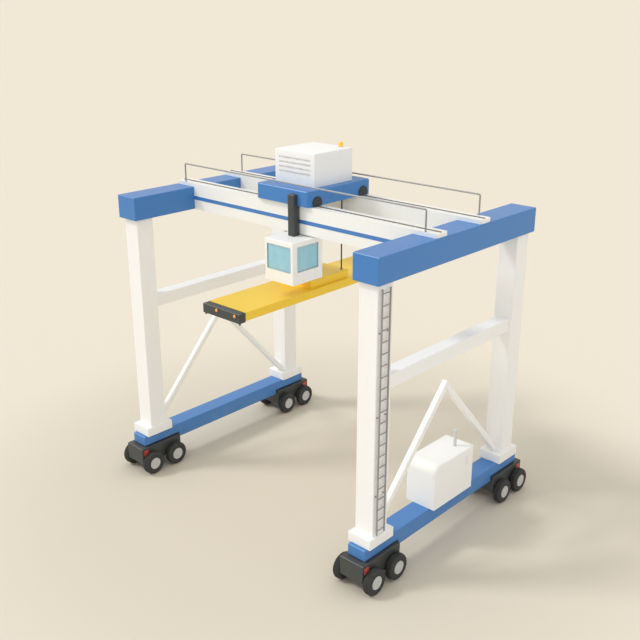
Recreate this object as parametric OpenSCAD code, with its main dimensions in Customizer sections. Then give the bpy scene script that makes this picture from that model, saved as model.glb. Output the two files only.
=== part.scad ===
// Rubber tyred gantry crane for container yards, in millimetres.
// X runs along the girders, Y along the way the crane drives, Z up from the ground under the tyres.

/* [Portal] */
// Distance between the leg centre lines, across the container rows
leg_span = 15130; // [14000:10:20000]
// Distance between the leg centre lines, along the way the crane drives
leg_spacing = 10050; // [9600:10:11000]
// Width of a leg across the rows
leg_w = 965; // [800:5:1100]
// Depth of a leg along the way the crane drives
leg_d = 945; // [800:5:1100]
// Height of the end beams' underside above the ground
beam_z = 13640; // [13500:10:16000]
// Width of the foot block under a leg
foot_w = 1235; // [1100:5:1300]
// Length of the foot block under a leg
foot_d = 1590; // [1400:5:1700]
// Height of the foot block
foot_h = 475; // [300:5:600]
// Corner radius of legs and foot blocks
leg_round = 35; // [10:1:60]

/* [Sill beams] */
// Height of the sill beams' underside
sill_z = 1485; // [1450:5:1700]
// Width of a sill beam
sill_w = 960; // [800:5:1100]
// Depth of a sill beam
sill_h = 520; // [400:5:700]
// Length of a sill beam
sill_l = 11960; // [11700:10:12300]

/* [End beams and braces] */
// Width of an end beam
end_beam_w = 1330; // [1200:10:1450]
// Depth of an end beam
end_beam_h = 1140; // [900:10:1250]
// Length of an end beam
end_beam_l = 11400; // [11200:10:12200]
// Edge radius of the blue beams
beam_round = 45; // [15:1:80]
// Height of the middle brace's underside
brace_z = 8925; // [8600:5:9500]
// Depth of the middle brace
brace_h = 635; // [400:5:800]
// Width of the middle brace
brace_w = 695; // [500:5:900]
// Side of the square section of a diagonal
diagonal_b = 315; // [200:5:400]
// Edge radius of a diagonal
diagonal_round = 45; // [10:1:90]
// Height of the tip where two diagonals lean together
diagonal_top = 7850; // [6500:10:8400]

/* [Girders and rails] */
// Distance between the girder centre lines
girder_gauge = 3194; // [3100:2:3300]
// Width of a girder
girder_w = 776; // [650:2:800]
// Height of a girder's top above the end beams' tops
girder_rise = 180; // [120:5:300]
// How far a girder runs past the leg centre line
girder_past = 603; // [500:1:660]
// Corner radius of a girder's end, seen from above
girder_round = 110; // [40:5:200]
// Height of the stripe's lower edge above the girder's underside
stripe_up = 495; // [200:5:700]
// Height of the stripe
stripe_h = 182; // [80:2:300]
// Thickness of the stripe's rubbing strip
stripe_t = 6; // [3:1:12]
// Width of the trolley rail's head
rail_w = 70; // [50:1:90]
// Height of the trolley rail
rail_h = 35; // [25:1:60]
// How far the rail runs past the leg centre line
rail_past = 530; // [450:1:590]
// Height of the handrail's top above the girder
handrail_h = 952; // [900:1:1150]
// Diameter of the handrail's tube
handrail_d = 60; // [40:1:80]
// Distance from the girder's outer edge to the handrail's centre line
handrail_in = 45; // [35:1:100]

/* [Ladder] */
// Distance between the ladder's side rails
ladder_w = 498; // [400:2:600]
// Offset of the ladder from the leg's centre line, away from the crane's middle
ladder_off = 121; // [0:1:180]
// Pitch of the rungs
rung_pitch = 500; // [280:5:520]
// Distance from the leg's face to the ladder's centre plane
ladder_out = 100; // [60:1:110]
// Diameter of the ladder's side rails
ladder_d = 60; // [40:1:70]
// Diameter of a rung
rung_d = 34; // [20:1:45]

/* [Power unit] */
// Width of the power unit's housing
power_w = 1583; // [1200:1:1700]
// Length of the housing
power_l = 3000; // [2400:10:3600]
// Height of the housing
power_h = 2176; // [1600:2:2500]
// Offset of the housing from the sill's centre line, to the outside
power_x = -57; // [-100:1:100]
// Offset of the housing from the crane's middle
power_y = 62; // [-200:1:200]
// Radius of the housing's rounded front upper edge
power_round = 450; // [150:10:600]
// Radius of the housing's front corners, seen from above
power_corner = 240; // [60:10:400]
// Width of the vent slots in the housing's outer side
vent_w = 200; // [120:5:400]
// Pitch of the vent slots
vent_pitch = 104; // [80:1:130]
// Offset of the vent slots from the housing's centre, to the rear
vent_y = 1020; // [-800:10:1300]
// Height of the highest vent slot above the sill beam
vent_top = 1800; // [1200:5:2000]
// Diameter of the exhaust pipe
exhaust_d = 156; // [100:2:240]
// Diameter of the round cap on the exhaust pipe
cap_d = 196; // [120:2:260]
// Offset of the exhaust pipe from the sill's centre line, to the outside
exhaust_x = 113; // [-300:1:400]
// Offset of the exhaust pipe from the crane's middle
exhaust_y = 913; // [-600:1:1200]
// Height of the exhaust pipe above the housing
exhaust_h = 866; // [400:2:1200]

/* [Trolley] */
// Place of the trolley's centre along the girders
trolley_x = -427; // [-3000:1:3000]
// Length of the trolley frame along the girders
trolley_l = 3370; // [3200:10:3800]
// Width of the trolley frame
trolley_w = 4080; // [4060:2:4300]
// Height of the trolley frame
trolley_h = 720; // [680:5:800]
// Corner radius of the trolley frame, seen from above
trolley_round = 160; // [60:5:240]
// Radius of the trolley frame's upper edges
trolley_edge = 70; // [10:1:110]
// Thickness of the trolley frame's side plates
skirt_t = 40; // [20:1:46]
// Running gap between the trolley frame and the girder's top
trolley_gap = 15; // [10:1:40]
// Tread radius of a trolley wheel
trolley_wheel_r = 200; // [160:1:220]
// Distance between the two trolley axles
trolley_base = 2500; // [2400:10:2700]
// Radius of the round-topped covers over the wheel ends
cover_r = 300; // [240:1:340]
// Thickness of the wheel end covers
cover_t = 60; // [30:1:100]
// Edge radius of the wheel end covers
cover_round = 18; // [4:1:28]

/* [Machinery house] */
// Length of the machinery house along the girders
house_l = 2540; // [2000:10:2900]
// Width of the machinery house
house_w = 2612; // [2200:2:3200]
// Height of the machinery house
house_h = 1533; // [1200:1:1900]
// Length of a louvre
louvre_l = 2002; // [1200:2:2300]
// Pitch of the louvres
louvre_pitch = 217; // [160:1:260]
// Height of the lowest louvre's centre line above the trolley frame
louvre_up = 545; // [300:1:700]
// Height of a louvre
louvre_h = 100; // [40:1:140]
// Radius of the warning lamp on the roof
beacon_r = 120; // [60:1:140]
// Offset of the warning lamp from the trolley's centre, along the girders
beacon_x = 714; // [-1000:1:1100]
// Offset of the warning lamp from the trolley's centre, along the way the crane drives
beacon_y = 1090; // [-1100:1:1150]
// Edge radius of the machinery house and the cab
house_round = 35; // [10:1:80]

/* [Cab] */
// Length of the cab along the girders
cab_l = 1797; // [1500:1:2100]
// Width of the cab
cab_w = 1957; // [1700:1:2000]
// Height of the cab
cab_h = 1970; // [1850:1:2200]
// Offset of the cab's centre from the trolley's centre, along the girders
cab_x = 922; // [600:1:1000]
// Distance of the cab's front face from the crane's middle
cab_front = 3332; // [3200:1:3500]
// Thickness of the cab's walls
cab_wall = 60; // [30:1:90]
// Running gap between the cab's roof and the girder's underside
cab_gap = 59; // [20:1:120]
// Height of the window sills above the cab's underside
window_sill = 561; // [400:1:800]
// Height of the windows
window_h = 1183; // [800:1:1250]
// Width of wall left at each side of the front window
front_margin = 150; // [100:1:400]
// Width of wall left at each side of the side windows
side_margin = 291; // [150:1:500]
// Thickness of the window glass
glass_t = 20; // [10:1:30]
// Side of the square post that carries the cab
post_b = 335; // [200:1:400]
// Offset of the post's centre from the trolley's centre, along the girders
post_x = 803; // [400:1:1100]
// Distance from the post's top to the trolley frame's top
post_down = 262; // [100:1:400]

/* [Hoist] */
// Diameter of a hoist rope
rope_d = 70; // [30:1:80]
// Half the distance between the rope falls, along the girders
rope_x = 820; // [760:1:850]
// Half the distance between the rope falls, along the way the crane drives
rope_y = 1080; // [1000:1:1100]
// Pitch radius of the drum and of the rope sheaves
sheave_r = 240; // [200:1:250]

/* [Spreader] */
// Length of the spreader over its end beams
spreader_l = 12192; // [12150:2:12400]
// Width of the spreader
spreader_w = 2438; // [2400:2:2460]
// Height of the face that lands on a container
landing_z = 10380; // [9600:10:10420]
// Depth of the spreader's end beams
end_h = 445; // [380:5:460]
// Thickness of the spreader's end beams
end_t = 387; // [320:1:450]
// Depth of the spreader's yellow body
body_h = 393; // [300:1:430]
// Width of the headblock
head_w = 2090; // [1900:2:2300]
// Length of the headblock
head_l = 2660; // [2400:2:2700]
// Height of the headblock
head_h = 395; // [300:1:420]
// Distance from the spreader's side to the twistlocks' axes
lock_side = 89.5; // [80:0.5:100]
// Distance from the spreader's ends to the twistlocks' axes
lock_end = 103.5; // [95:0.5:120]
// Radius of a signal lamp on the end beams
lamp_r = 85; // [50:1:110]
// Height of the signal lamps above the landing face
lamp_up = 313; // [150:1:340]
// Offset of the two lamps of an end beam from the trolley's centre
lamp_x = [-266, 928];

/* [Bogies] */
// Half the width of a bogie frame
bogie_hw = 645; // [560:1:650]
// Length of a bogie frame
bogie_l = 2540; // [2300:10:2700]
// Height of a bogie frame's lower edge
bogie_z = 570; // [500:5:620]
// Height of the slewing ring between bogie and sill beam
ring_h = 20; // [15:1:40]
// Distance between the axles of a bogie
wheelbase = 1500; // [1400:5:1600]
// Radius of a tyre
tyre_r = 605; // [560:1:640]
// Width of a tyre
tyre_w = 365; // [300:1:400]
// Gap between tyre and bogie frame
tyre_gap = 20; // [12:1:40]
// Radius of the wheel disc inside the tyre
rim_r = 323; // [250:1:360]
// Radius of an axle
axle_r = 70; // [50:1:80]
// Radial running clearance of pins and axles
run_gap = 0.5; // [0.3:0.1:1]

/* [Hidden] */
$fn = 64;

blue = [0.32, 0.53, 0.76];
cream = [0.96, 0.96, 0.92];
dark = [0.25, 0.26, 0.27];
black = [0.16, 0.16, 0.17];
grey = [0.62, 0.62, 0.6];
yellow = [0.98, 0.8, 0.28];
orange = [0.96, 0.62, 0.2];
glass = [0.62, 0.82, 0.87];

half_span = leg_span / 2;
half_base = leg_spacing / 2;
sill_top = sill_z + sill_h;
foot_top = sill_top + foot_h;
beam_top = beam_z + end_beam_h;
girder_top = beam_top + girder_rise;
girder_y = girder_gauge / 2;
girder_out = girder_y + girder_w / 2;
rail_top = girder_top + rail_h;
leg_in_y = half_base - leg_d / 2;
foot_in_y = half_base - foot_d / 2;
// Slope of the diagonals, so that the lower edge meets the foot block's corner
diagonal_rise = diagonal_top - foot_top;
diagonal_slope = acos(diagonal_b / norm([diagonal_rise, foot_in_y])) - atan2(foot_in_y, diagonal_rise);
trolley_z = girder_top + trolley_gap;
trolley_top = trolley_z + trolley_h;
vents = 5;
vent_depth = 25;
cap_h = 120;
deck_t = 30;
axle_z = rail_top + 0.3 + trolley_wheel_r;
trolley_axle_r = 45;
cover_up = 115;
flange_r = trolley_wheel_r + 22;
tread_w = rail_w + 20;
flange_t = 20;
web_t = 24;
web_y = tread_w / 2 + flange_t + 30 + web_t / 2;
hoist_z = trolley_top - deck_t - sheave_r - rope_d / 2 - 20;
drum_l = 2 * rope_y + rope_d + 40;
drum_shaft_r = 60;
lead_x = rope_x - sheave_r;
sheave_t = rope_d + 40;
sheave_pin_r = 40;
carrier_t = 20;
carrier_y = sheave_t / 2 + 5 + carrier_t / 2;
cab_top = beam_z - cab_gap;
cab_z = cab_top - cab_h;
window_top = window_sill + window_h;
glass_in = 30;
spreader_top = landing_z + end_h + 10;
head_top = spreader_top + head_h;
socket_h = 40;
ring_r = 430;
pin_r = 80;
pin_h = 200;
plate_t = 40;
bogie_top = sill_z - 0.3 - ring_h;
axle_boss_r = 150;
boss_r = 110;
bogie_round = 40;
boss_l = 160;
lock_w = spreader_w - 2 * lock_side;
lock_l = spreader_l - 2 * lock_end;
lock_neck_r = 28;
lock_neck_h = 32;
lock_head_h = 60;
lock_flat = 48;
lock_tip_r = 36;
edge_round = 30;
ladder_ties = 4;
drum_r = sheave_r - rope_d / 2 + 25;
drum_plain = 200;
wrap_pitch = 1.15 * rope_d;
tyre_shoulder = 62;
tyre_wall = 40;
rim_lip = 20;
rim_in = 60;
groove_d = 22;
groove_w = 26;
groove_pitch = 78;
tyre_x = bogie_hw + tyre_gap + tyre_w / 2;

// A rectangle with round corners, centred
module round_rect(w, d, r) {
    square([w - 2 * r, d], center = true);
    square([w, d - 2 * r], center = true);
    for (sx = [-1, 1], sy = [-1, 1])
        translate([sx * (w / 2 - r), sy * (d / 2 - r)])
            circle(r = r);
}

// A standing rectangle with round upper corners, its foot at y = 0
module arch(w, h, r) {
    translate([-w / 2, 0]) square([w, h - r]);
    translate([-w / 2 + r, 0]) square([w - 2 * r, h]);
    for (s = [-1, 1])
        translate([s * (w / 2 - r), h - r]) circle(r = r);
}

// An upright member with round corners, its foot at z = 0
module upright(w, d, h, r) {
    linear_extrude(h) round_rect(w, d, r);
}

// A member along Y with round edges, centred, its underside at z = 0
module beam_along_y(l, w, h, r) {
    translate([0, 0, h / 2])
        rotate([90, 0, 0])
            linear_extrude(l, center = true) round_rect(w, h, r);
}

// A box with all its edges round, its underside at z = 0
module soft_box(w, d, h, r) {
    intersection() {
        translate([0, 0, -1]) upright(w, d, h + 2, r);
        beam_along_y(d + 2, w, h, r);
        rotate([0, 0, 90]) beam_along_y(w + 2, d, h, r);
    }
}

// A box with round corners seen from above and round upper edges, its underside at z = 0
module hood(w, d, h, plan_r, top_r) {
    intersection() {
        translate([0, 0, -1]) upright(w, d, h + 2, plan_r);
        rotate([90, 0, 0]) linear_extrude(d + 2, center = true) arch(w, h, top_r);
        rotate([90, 0, 90]) linear_extrude(w + 2, center = true) arch(d, h, top_r);
    }
}

// A box between two corners
module block(lo, hi) {
    translate(lo) cube(hi - lo);
}

// A cylinder along X, centred
module rod_x(r, l) {
    rotate([0, 90, 0]) cylinder(r = r, h = l, center = true);
}

// A cylinder along Y, centred
module rod_y(r, l) {
    rotate([90, 0, 0]) cylinder(r = r, h = l, center = true);
}

module sill_beam(side) {
    color(blue)
    translate([side * half_span, 0, sill_z])
        difference() {
            soft_box(sill_w, sill_l, sill_h, beam_round);
            for (end = [-1, 1])
                translate([0, end * half_base, -1])
                    cylinder(r = pin_r + run_gap, h = pin_h + 6);
        }
}

module leg(side, end) {
    color(cream)
    translate([side * half_span, end * half_base, sill_top]) {
        soft_box(foot_w, foot_d, foot_h, leg_round);
        upright(leg_w, leg_d, beam_z - sill_top, leg_round);
    }
}

module middle_brace(side) {
    color(cream)
    translate([side * half_span, 0, brace_z])
        beam_along_y(2 * leg_in_y, brace_w, brace_h, leg_round);
}

// One bar of the pair that leans together over the sill beam
module diagonal(side, end) {
    bar_l = norm([diagonal_rise, foot_in_y]) + 3 * diagonal_b;
    color(cream)
    translate([side * half_span, 0, 0])
        mirror([0, end < 0 ? 1 : 0, 0])
            intersection() {
                translate([0, 0, diagonal_top])
                    rotate([-90 - diagonal_slope, 0, 0])
                        translate([0, diagonal_b / 2, -diagonal_b])
                            upright(diagonal_b, diagonal_b, bar_l, diagonal_round);
                block([-diagonal_b, 0, foot_top], [diagonal_b, leg_in_y, diagonal_top + 1]);
            }
}

module end_beam(side) {
    color(blue)
    translate([side * half_span, 0, beam_z])
        soft_box(end_beam_w, end_beam_l, end_beam_h, beam_round);
}

// The full depth stops at the end beams, and the top strake lies over them
module girder(end) {
    deep_l = leg_span - end_beam_w;
    color(cream)
    translate([0, end * girder_y, 0]) {
        block([-deep_l / 2, -girder_w / 2, beam_z], [deep_l / 2, girder_w / 2, girder_top]);
        translate([0, 0, beam_top])
            upright(leg_span + 2 * girder_past, girder_w, girder_rise, girder_round);
    }
    color(blue)
    translate([0, end * girder_out, beam_z + stripe_up])
        block([-deep_l / 2, -stripe_t, 0], [deep_l / 2, stripe_t, stripe_h]);
}

module rail(end) {
    rail_l = leg_span + 2 * rail_past;
    color(grey)
    translate([0, end * girder_y, girder_top])
        block([-rail_l / 2, -rail_w / 2, 0], [rail_l / 2, rail_w / 2, rail_h]);
}

module handrail(end) {
    tube_z = handrail_h - handrail_d / 2;
    color(grey)
    translate([0, end * (girder_out - handrail_in), girder_top]) {
        translate([0, 0, tube_z]) rod_x(handrail_d / 2, leg_span);
        for (side = [-1, 1])
            translate([side * half_span, 0, 0]) {
                cylinder(d = handrail_d, h = tube_z);
                translate([0, 0, tube_z]) sphere(d = handrail_d);
            }
    }
}

module ladder() {
    ladder_h = beam_z - foot_top;
    rungs = floor((ladder_h - rung_pitch / 2) / rung_pitch);
    color(dark)
    translate([half_span + leg_w / 2 + ladder_out, -half_base - ladder_off, foot_top]) {
        for (s = [-1, 1]) {
            translate([0, s * ladder_w / 2, 0]) cylinder(d = ladder_d, h = ladder_h);
            for (k = [1:ladder_ties])
                translate([-ladder_out / 2, s * ladder_w / 2, (k - 0.5) / ladder_ties * ladder_h])
                    rod_x(rung_d / 2, ladder_out);
        }
        for (k = [1:rungs])
            translate([0, 0, (k - 0.25) * rung_pitch]) rod_y(rung_d / 2, ladder_w);
    }
}

// The housing's outline seen from the side, front to the left
module power_side() {
    translate([-power_l / 2, 0]) square([power_l, power_h - power_round]);
    translate([-power_l / 2 + power_round, 0]) square([power_l - power_round, power_h]);
    translate([-power_l / 2 + power_round, power_h - power_round]) circle(r = power_round);
}

// The housing's outline seen from above, with round front corners
module power_plan() {
    translate([-power_w / 2, -power_l / 2 + power_corner]) square([power_w, power_l - power_corner]);
    translate([-power_w / 2 + power_corner, -power_l / 2]) square([power_w - 2 * power_corner, power_l]);
    for (s = [-1, 1])
        translate([s * (power_w / 2 - power_corner), -power_l / 2 + power_corner])
            circle(r = power_corner);
}

module power_unit() {
    color(cream)
    translate([half_span + power_x, power_y, sill_top])
        difference() {
            intersection() {
                rotate([90, 0, 90]) linear_extrude(power_w + 2, center = true) power_side();
                translate([0, 0, -1]) linear_extrude(power_h + 2) power_plan();
            }
            for (k = [0:vents - 1])
                translate([power_w / 2, vent_y, vent_top - k * vent_pitch])
                    cube([2 * vent_depth, vent_w, vent_pitch / 2], center = true);
        }
}

// A pipe with a round cap
module exhaust_pipe() {
    color(grey)
    translate([half_span + exhaust_x, exhaust_y, sill_top + power_h])
        rotate_extrude()
            intersection() {
                union() {
                    translate([0, exhaust_h - cap_h]) arch(cap_d, cap_h, cap_d / 3);
                    square([exhaust_d / 2, exhaust_h - cap_h / 2]);
                }
                translate([0, -1]) square([cap_d, exhaust_h + 2]);
            }
}

// Everything on the trolley is placed from its centre on the rails
module on_trolley(z) {
    translate([trolley_x, 0, z]) children();
}

// A deck with plates hanging down round it and two wheel boxes along the rails
module trolley_frame() {
    color(blue)
    on_trolley(trolley_z) {
        difference() {
            hood(trolley_l, trolley_w, trolley_h, trolley_round, trolley_edge);
            translate([0, 0, -1])
                upright(trolley_l - 2 * skirt_t, trolley_w - 2 * skirt_t, trolley_h - deck_t + 1,
                    trolley_round - skirt_t);
            for (end = [-1, 1])
                translate([0, end * girder_y, rail_top - trolley_z])
                    cube([trolley_l + 10, rail_w + 60, 40], center = true);
        }
        for (end = [-1, 1], s = [-1, 1])
            difference() {
                translate([0, end * girder_y + s * web_y, trolley_h / 2])
                    cube([trolley_l - skirt_t, web_t, trolley_h - 60], center = true);
                for (side = [-1, 1])
                    translate([side * trolley_base / 2, end * girder_y + s * web_y, axle_z - trolley_z])
                        rod_y(trolley_axle_r + run_gap, web_t + 2);
            }
        for (end = [-1, 1])
            translate([0, end * (drum_l / 2 + 30), 0])
                difference() {
                    block([-sheave_r * 0.6, -15, hoist_z - trolley_z - 2 * drum_shaft_r],
                        [sheave_r * 0.6, 15, trolley_h - deck_t / 2]);
                    translate([0, 0, hoist_z - trolley_z]) rod_y(drum_shaft_r, 40);
                }
        for (side = [-1, 1], end = [-1, 1])
            translate([side * lead_x, end * rope_y, 0]) sheave_carrier();
    }
}

// Two plates under the deck with the pin that a sheave turns on
module sheave_carrier() {
    pin_z = hoist_z - trolley_z;
    for (s = [-1, 1])
        translate([0, s * carrier_y, 0])
            block([-1.5 * sheave_pin_r, -carrier_t / 2, pin_z - 1.5 * sheave_pin_r],
                [1.5 * sheave_pin_r, carrier_t / 2, trolley_h - deck_t / 2]);
    translate([0, 0, pin_z]) rod_y(sheave_pin_r, 2 * carrier_y + carrier_t + 20);
}

// The space over a blade that slopes in and up, open to the front
module louvre_cut() {
    rotate([90, 0, 90])
        linear_extrude(louvre_l, center = true)
            polygon([
                [-1, -louvre_h / 2], [0, -louvre_h / 2],
                [louvre_h / 2, louvre_h / 2], [-1, louvre_h / 2]
            ]);
}

module machinery_house() {
    color(cream)
    on_trolley(trolley_top)
        difference() {
            hood(house_l, house_w, house_h, house_round, house_round);
            for (turn = [0, 180], k = [0:3])
                rotate(turn) translate([0, -house_w / 2, louvre_up + k * louvre_pitch]) louvre_cut();
        }
}

module warning_lamp() {
    color(orange)
    on_trolley(trolley_top + house_h)
        translate([beacon_x, beacon_y, 0]) {
            cylinder(r = beacon_r, h = beacon_r);
            translate([0, 0, beacon_r]) sphere(r = beacon_r);
        }
}

// Discs with round edges, cut flat over the rail
module wheel_end_covers() {
    color(dark)
    on_trolley(rail_top + trolley_gap)
        for (side = [-1, 1], end = [-1, 1])
            translate([side * (trolley_l + cover_t) / 2, end * girder_y, 0])
                intersection() {
                    translate([0, 0, cover_up])
                        rotate([0, 90, 0])
                            rotate_extrude()
                                intersection() {
                                    round_rect(2 * cover_r, cover_t, cover_round);
                                    translate([0, -cover_t]) square([cover_r + 1, 2 * cover_t]);
                                }
                    translate([0, 0, cover_r]) cube([cover_t + 2, 2 * cover_r + 2, 2 * cover_r], center = true);
                }
}

module hoist_drum() {
    grooves = floor((drum_l / 2 - drum_plain) / wrap_pitch);
    color(grey)
    on_trolley(hoist_z)
        rotate([90, 0, 0])
            difference() {
                union() {
                    cylinder(r = drum_r, h = drum_l, center = true);
                    cylinder(r = drum_shaft_r - run_gap, h = drum_l + 130, center = true);
                }
                for (s = [-1, 1], k = [0:grooves - 1])
                    rotate_extrude()
                        translate([sheave_r, s * (rope_y - k * wrap_pitch)])
                            circle(r = rope_d / 2 + run_gap);
            }
}

// Half section of a sheave with a round-bottomed groove for the rope
module sheave_profile() {
    bore = sheave_pin_r + run_gap;
    difference() {
        translate([bore, -sheave_t / 2]) square([sheave_r + 15 - bore, sheave_t]);
        translate([sheave_r, 0]) {
            circle(r = rope_d / 2 + run_gap);
            translate([0, -rope_d / 2 - run_gap]) square(rope_d + 2 * run_gap);
        }
    }
}

module rope_sheaves() {
    color(dark)
    on_trolley(hoist_z)
        for (side = [-1, 1], end = [-1, 1])
            translate([side * lead_x, end * rope_y, 0])
                rotate([90, 0, 0])
                    rotate_extrude() sheave_profile();
}

module rope_leads() {
    color(black)
    on_trolley(hoist_z)
        for (side = [-1, 1], end = [-1, 1])
            translate([side * lead_x, end * rope_y, 0])
                mirror([side < 0 ? 1 : 0, 0, 0]) {
                    rotate([90, 0, 0])
                        rotate_extrude(angle = 90)
                            translate([sheave_r, 0]) circle(d = rope_d, $fn = 32);
                    translate([-lead_x / 2, 0, sheave_r])
                        rotate([0, 90, 0]) cylinder(d = rope_d, h = lead_x, center = true, $fn = 32);
                }
}

module hoist_ropes() {
    foot = head_top + socket_h;
    color(black)
    on_trolley(foot)
        for (side = [-1, 1], end = [-1, 1])
            translate([side * rope_x, end * rope_y, 0])
                cylinder(d = rope_d, h = hoist_z - foot, $fn = 32);
}

module cab_post() {
    color(dark)
    on_trolley(cab_top)
        translate([post_x, -trolley_w / 2 - post_b / 2, 0])
            hood(post_b, post_b, trolley_top - post_down - cab_top, edge_round, edge_round);
}

// A hollow cab with a window in each wall
module cab_shell() {
    color(cream)
    on_trolley(cab_z)
        translate([cab_x, -cab_front + cab_w / 2, 0])
            difference() {
                hood(cab_l, cab_w, cab_h, house_round, house_round);
                translate([-cab_l / 2 + cab_wall, -cab_w / 2 + cab_wall, cab_wall])
                    cube([cab_l - 2 * cab_wall, cab_w - 2 * cab_wall, cab_h - 2 * cab_wall]);
                translate([0, 0, window_sill + window_h / 2]) {
                    cube([cab_l - 2 * front_margin, cab_w + 2, window_h], center = true);
                    cube([cab_l + 2, cab_w - 2 * side_margin, window_h], center = true);
                }
            }
}

module cab_windows() {
    color(glass)
    on_trolley(cab_z + window_sill)
        translate([cab_x, -cab_front + cab_w / 2, window_h / 2])
            for (s = [-1, 1]) {
                translate([0, s * (cab_w / 2 - glass_in - glass_t / 2), 0])
                    cube([cab_l - 2 * front_margin, glass_t, window_h], center = true);
                translate([s * (cab_l / 2 - glass_in - glass_t / 2), 0, 0])
                    cube([glass_t, cab_w - 2 * side_margin, window_h], center = true);
            }
}

// Two flanged wheels on one shaft across the trolley
module trolley_wheels(side) {
    color(dark)
    on_trolley(axle_z)
        translate([side * trolley_base / 2, 0, 0]) {
            rod_y(trolley_axle_r, girder_gauge + 2 * web_y + 2 * web_t);
            for (end = [-1, 1])
                translate([0, end * girder_y, 0]) {
                    rod_y(trolley_wheel_r, tread_w);
                    for (s = [-1, 1])
                        translate([0, s * (tread_w + flange_t) / 2, 0]) rod_y(flange_r, flange_t);
                }
        }
}

module headblock() {
    color(yellow)
    on_trolley(spreader_top) {
        hood(head_w, head_l, head_h, edge_round, edge_round);
        for (side = [-1, 1], end = [-1, 1])
            translate([side * rope_x, end * rope_y, head_h])
                cylinder(d = rope_d + 40, h = socket_h);
    }
}

// A shallow tray with a closed top and ribs below
module spreader_body() {
    body_l = spreader_l - 2 * end_t;
    ribs = 7;
    bay = body_l / ribs;
    color(yellow)
    on_trolley(spreader_top - body_h)
        difference() {
            translate([-spreader_w / 2, -body_l / 2, 0]) cube([spreader_w, body_l, body_h]);
            for (k = [0:ribs - 1], s = [-1, 1])
                translate([s * spreader_w / 4, (k - (ribs - 1) / 2) * bay, (body_h - plate_t) / 2 - 1])
                    cube([spreader_w / 2 - 1.5 * plate_t, bay - plate_t, body_h - plate_t], center = true);
        }
}

module spreader_end(end) {
    color(dark)
    on_trolley(landing_z)
        translate([0, end * (spreader_l - end_t) / 2, 0])
            soft_box(spreader_w - 2, end_t, end_h, edge_round);
}

module signal_lamps() {
    color(orange)
    on_trolley(landing_z + lamp_up)
        for (end = [-1, 1], x = lamp_x)
            translate([x, end * spreader_l / 2, 0])
                rotate([-90 * end, 0, 0])
                    intersection() {
                        cylinder(r = lamp_r, h = lamp_r);
                        translate([0, 0, -lamp_r * 0.3]) sphere(r = lamp_r * 1.1);
                    }
}

// Necks with heads of the oblong outline that fits a corner casting, tapered to their tips
module twistlocks() {
    lock_h = lock_neck_h + lock_head_h;
    color(grey)
    on_trolley(landing_z)
        for (side = [-1, 1], end = [-1, 1])
            translate([side * lock_w / 2, end * lock_l / 2, 0]) {
                translate([0, 0, -lock_neck_h]) cylinder(r = lock_neck_r, h = lock_neck_h);
                intersection() {
                    translate([0, 0, -lock_h])
                        linear_extrude(lock_head_h) {
                            square([2 * lock_neck_r, lock_flat], center = true);
                            for (s = [-1, 1])
                                translate([0, s * lock_flat / 2]) circle(r = lock_neck_r);
                        }
                    translate([0, 0, -lock_h])
                        cylinder(r1 = lock_tip_r, r2 = lock_tip_r + lock_head_h, h = lock_head_h);
                }
            }
}

// A deep frame with axle bosses, a slewing ring and a king pin
module bogie(side, end) {
    frame_h = bogie_top - bogie_z;
    color(dark)
    translate([side * half_span, end * half_base, 0])
        difference() {
            union() {
                translate([0, 0, bogie_z]) soft_box(2 * bogie_hw, bogie_l, frame_h, bogie_round);
                translate([0, 0, bogie_top - 1]) cylinder(r = ring_r, h = ring_h + 1);
                translate([0, 0, bogie_top]) cylinder(r = pin_r, h = ring_h + pin_h);
                for (s = [-1, 1], a = [-1, 1])
                    translate([s * (bogie_hw - boss_l / 2), a * wheelbase / 2, tyre_r])
                        rod_x(axle_boss_r, boss_l);
            }
            block([boss_l - bogie_hw, plate_t - bogie_l / 2, bogie_z - 1],
                [bogie_hw - boss_l, bogie_l / 2 - plate_t, bogie_top - plate_t]);
            for (a = [-1, 1])
                translate([0, a * wheelbase / 2, tyre_r])
                    rod_x(axle_r + run_gap, 2 * bogie_hw + 2);
        }
}

// Half section of a wheel: radius along x, width along y, outer side up
module wheel_profile() {
    wall_r = rim_r - tyre_wall;
    difference() {
        union() {
            translate([(wall_r + tyre_r) / 2, 0]) round_rect(tyre_r - wall_r, tyre_w, tyre_shoulder);
            translate([0, rim_in - tyre_w / 2]) square([rim_r + rim_lip, tyre_w - 1.5 * rim_in]);
            square([boss_r, tyre_w / 2]);
        }
        for (s = [-1, 0, 1])
            translate([tyre_r - groove_d / 2 + 1, s * groove_pitch])
                square([groove_d + 2, groove_w], center = true);
    }
}

// Two wheels on one axle through the bogie
module wheels(side, end, row) {
    translate([side * half_span, end * (half_base + row * wheelbase / 2), tyre_r]) {
        color(grey) rod_x(axle_r, 2 * tyre_x);
        color(black)
        for (s = [-1, 1])
            translate([s * tyre_x, 0, 0])
                rotate([0, s * 90, 0])
                    rotate_extrude() wheel_profile();
    }
}

sill_beam(1);  // right_sill_beam
sill_beam(-1);  // left_sill_beam
leg(1, -1);  // front_right_leg
leg(1, 1);  // rear_right_leg
leg(-1, -1);  // front_left_leg
leg(-1, 1);  // rear_left_leg
middle_brace(1);  // right_middle_brace
middle_brace(-1);  // left_middle_brace
diagonal(1, -1);  // front_right_diagonal
diagonal(1, 1);  // rear_right_diagonal
diagonal(-1, -1);  // front_left_diagonal
diagonal(-1, 1);  // rear_left_diagonal
end_beam(1);  // right_end_beam
end_beam(-1);  // left_end_beam
girder(-1);  // front_girder
girder(1);  // rear_girder
rail(-1);  // front_rail
rail(1);  // rear_rail
handrail(-1);  // front_handrail
handrail(1);  // rear_handrail
ladder();
power_unit();
exhaust_pipe();
trolley_frame();
machinery_house();
warning_lamp();
wheel_end_covers();
hoist_drum();
rope_sheaves();
rope_leads();
hoist_ropes();
cab_post();
cab_shell();
cab_windows();
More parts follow.
